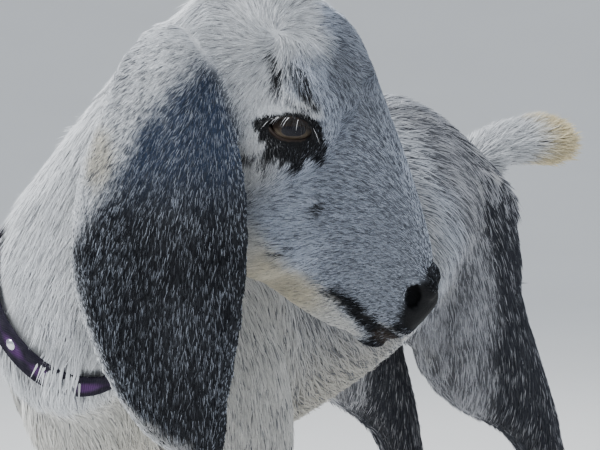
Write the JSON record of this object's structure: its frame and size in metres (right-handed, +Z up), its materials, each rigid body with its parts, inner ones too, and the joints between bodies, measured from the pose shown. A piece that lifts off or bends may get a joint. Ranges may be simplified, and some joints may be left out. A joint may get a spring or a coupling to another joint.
{
  "type": "nubian goat model",
  "caption": "Life-size standing model of a young nubian goat kid, head turned back to its left, with long hanging ears, a raised tail and a webbing collar.",
  "frame": {"origin": "middle of the model's bounding box in X and Y, on the floor under the hooves", "axes": "+Z up, -Y towards the chest, so the body lies along Y with the tail at +Y, and +X towards the goat's left, the side that the head is turned to"},
  "size_m": [0.2716, 0.6276, 0.5525],
  "materials": {
    "coat": "short white and silver roan hair with black flecks",
    "ear_coat": "short dark grey roan hair",
    "eye": "wet, with a dark level pupil",
    "hoof": "dull dark horn",
    "webbing": "flat woven webbing, purple and black",
    "stud": "polished"
  },
  "bodies": {
    "root": {"collar": "webbing", "collar_stud": "stud", "ear_left": "ear_coat", "ear_right": "ear_coat", "eye_left": "eye", "eye_right": "eye", "head": "coat", "hoof_front_left_left": "hoof", "hoof_front_left_right": "hoof", "hoof_front_right_left": "hoof", "hoof_front_right_right": "hoof", "hoof_hind_left_left": "hoof", "hoof_hind_left_right": "hoof", "hoof_hind_right_left": "hoof", "hoof_hind_right_right": "hoof", "leg_front_left": "coat", "leg_front_right": "coat", "leg_hind_left": "coat", "leg_hind_right": "coat", "neck": "coat", "tail": "coat", "torso": "coat"}
  },
  "joints": []
}
